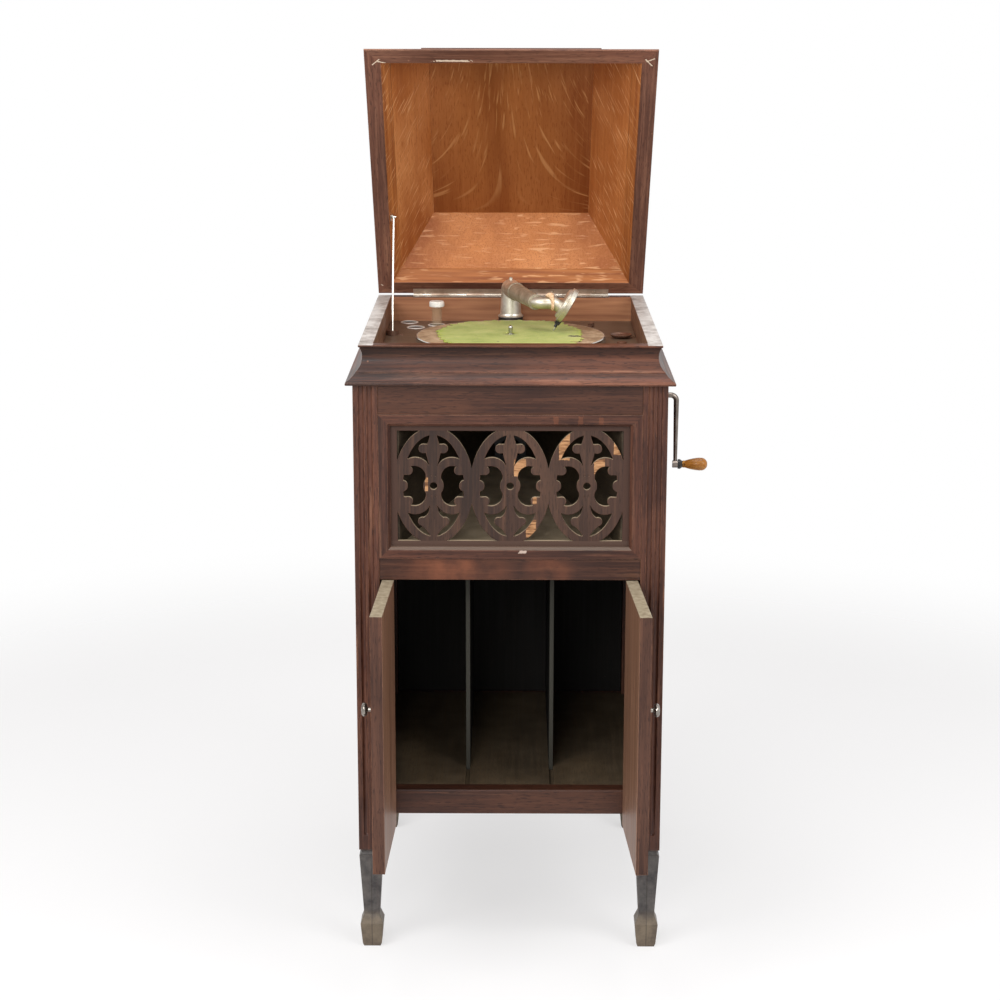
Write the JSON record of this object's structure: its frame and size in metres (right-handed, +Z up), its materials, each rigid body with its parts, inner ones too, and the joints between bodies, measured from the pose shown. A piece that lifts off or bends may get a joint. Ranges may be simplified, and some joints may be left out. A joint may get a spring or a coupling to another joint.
{
  "type": "console phonograph",
  "caption": "Wind-up console phonograph with a hipped lid, fretted horn grille, record cupboard with doors, crank, turntable and swinging tonearm.",
  "frame": {"origin": "on the floor under the middle of the cabinet, halfway between the four legs", "axes": "+Z up, -Y out of the front with the doors and the fretwork, +X to the viewer's right, where the crank is"},
  "size_m": [0.5656, 0.7627, 1.3857],
  "materials": {
    "oiled_walnut": "worn satin stain",
    "horn_wood": "thin matte stain",
    "lid_lining_wood": "faded satin stain",
    "bare_wood": "unfinished",
    "grip_wood": "worn satin",
    "nickel": "worn polished nickel",
    "steel": "satin",
    "spring_steel": "blued and oiled",
    "cast_iron": "black japanned",
    "black_iron": "worn black paint",
    "brass": "dull",
    "aged_brass": "tarnished",
    "felt": "worn torn felt",
    "platter_steel": "worn, with a nickelled rim",
    "rubber": "perished tan",
    "mica": "clear flaky sheet",
    "glass": "clear",
    "white_cap": "smooth",
    "oxidised_tin": "brown oxidised"
  },
  "bodies": {
    "cabinet": {"corner_posts": "oiled_walnut", "side_panel_left": "oiled_walnut", "side_panel_right": "oiled_walnut", "back_panel": "bare_wood", "frame_rails": "oiled_walnut", "front_rails": "oiled_walnut", "grille_frame": "oiled_walnut", "fretwork_grille": "oiled_walnut", "horn_shelf": "bare_wood", "record_floor": "bare_wood", "record_dividers": "bare_wood", "cornice": "oiled_walnut", "motor_board": "oiled_walnut", "fixed_hinge_leaves": "steel", "hinge_pins": "steel", "stay_guide": "black_iron", "motor_frame": "black_iron", "crank_escutcheon": "aged_brass", "tonearm_collar": "cast_iron", "horn": "horn_wood", "horn_neck": "cast_iron", "needle_cups": "nickel", "needle_bottle": "glass", "bottle_cap": "white_cap", "used_needle_dish": "oxidised_tin"},
    "lid": {"lid_rim": "oiled_walnut", "lid_walls": "lid_lining_wood", "lid_top_panel": "lid_lining_wood", "lid_hinge_leaf": "nickel", "stay_bracket": "nickel"},
    "lid_stay": {"stay_rod": "nickel"},
    "left_door": {"door_left": "oiled_walnut", "door_hinge_leaves_left": "aged_brass", "door_knob_left": "nickel"},
    "right_door": {"door_right": "oiled_walnut", "door_hinge_leaves_right": "aged_brass", "door_knob_right": "nickel"},
    "turntable": {"turntable_platter": "platter_steel", "turntable_felt": "felt", "turntable_spindle": "steel"},
    "barrel": {"spring_barrel": "brass", "mainspring": "spring_steel"},
    "arbor": {"spring_arbor": "steel"},
    "intermediate": {"intermediate_shaft": "brass"},
    "governor": {"governor_shaft": "steel", "governor_weights": "brass"},
    "crank": {"winding_shaft": "black_iron", "crank_arm": "black_iron"},
    "grip": {"crank_ferrule": "brass", "crank_grip": "grip_wood"},
    "tonearm": {"tonearm_bracket": "nickel", "tonearm_tube": "nickel"},
    "sound_box_unit": {"gooseneck": "nickel", "rubber_ring": "rubber", "sound_box": "nickel", "diaphragm": "mica", "needle_bar": "black_iron", "needle": "steel"},
    "brake": {"brake_lever": "nickel"},
    "regulator": {"speed_regulator": "black_iron"}
  },
  "joints": [
    {"name": "lid_hinge", "type": "hinge", "parent": "cabinet", "child": "lid", "pos_m": [0, 0.2678, 0.9623], "axis": [1, 0, 0], "range_deg": [0, 53.5]},
    {"name": "stay_swing", "type": "hinge", "parent": "lid", "child": "lid_stay", "pos_m": [-0.194, 0.16773, 1.10595], "axis": [1, 0, 0], "range_deg": [-31.3, 0]},
    {"name": "left_door_hinge", "type": "hinge", "parent": "cabinet", "child": "left_door", "pos_m": [-0.1952, -0.2618, 0.4], "axis": [0, 0, 1], "range_deg": [-25, 92]},
    {"name": "right_door_hinge", "type": "hinge", "parent": "cabinet", "child": "right_door", "pos_m": [0.1952, -0.2618, 0.4], "axis": [0, 0, 1], "range_deg": [-93, 25]},
    {"name": "turntable_turn", "type": "hinge", "parent": "cabinet", "child": "turntable", "pos_m": [0, 0.022, 0.925], "axis": [0, 0, 1], "continuous": true},
    {"name": "intermediate_turn", "type": "hinge", "parent": "cabinet", "child": "intermediate", "pos_m": [0.02216, 0.04645, 0.86], "axis": [0, 0, 1], "continuous": true},
    {"name": "barrel_turn", "type": "hinge", "parent": "cabinet", "child": "barrel", "pos_m": [0.062, 0.01, 0.87], "axis": [0, 0, 1], "continuous": true},
    {"name": "governor_turn", "type": "hinge", "parent": "cabinet", "child": "governor", "pos_m": [-0.0207, 0.022, 0.868], "axis": [0, 1, 0], "continuous": true},
    {"name": "crank_turn", "type": "hinge", "parent": "cabinet", "child": "crank", "pos_m": [0.2, 0.01, 0.837], "axis": [1, 0, 0], "continuous": true},
    {"name": "arbor_turn", "type": "hinge", "parent": "cabinet", "child": "arbor", "pos_m": [0.062, 0.01, 0.87], "axis": [0, 0, 1], "continuous": true},
    {"name": "grip_spin", "type": "hinge", "parent": "crank", "child": "grip", "pos_m": [0.3, 0.01, 0.723], "axis": [1, 0, 0], "continuous": true},
    {"name": "tonearm_swing", "type": "hinge", "parent": "cabinet", "child": "tonearm", "pos_m": [0, 0.206, 0.936], "axis": [0, 0, 1], "range_deg": [-14, 30]},
    {"name": "sound_box_turn_back", "type": "hinge", "parent": "tonearm", "child": "sound_box_unit", "pos_m": [0.0405, 0.05, 0.9815], "axis": [0.2513, -0.9679, 0], "range_deg": [0, 100]},
    {"name": "brake_swing", "type": "hinge", "parent": "cabinet", "child": "brake", "pos_m": [0.134, 0.178, 0.921], "axis": [0, 0, 1], "range_deg": [-20, 0]},
    {"name": "speed_set", "type": "hinge", "parent": "cabinet", "child": "regulator", "pos_m": [0.178, 0, 0.921], "axis": [0, 0, 1], "range_deg": [-45, 45]}
  ],
  "couplings": [
    {"joint": "stay_swing", "follows": "lid_hinge", "ratio": -0.5825},
    {"joint": "intermediate_turn", "follows": "turntable_turn", "ratio": -0.22222},
    {"joint": "barrel_turn", "follows": "turntable_turn", "ratio": 0.027778},
    {"joint": "governor_turn", "follows": "turntable_turn", "ratio": 32},
    {"joint": "arbor_turn", "follows": "crank_turn", "ratio": -0.5}
  ]
}
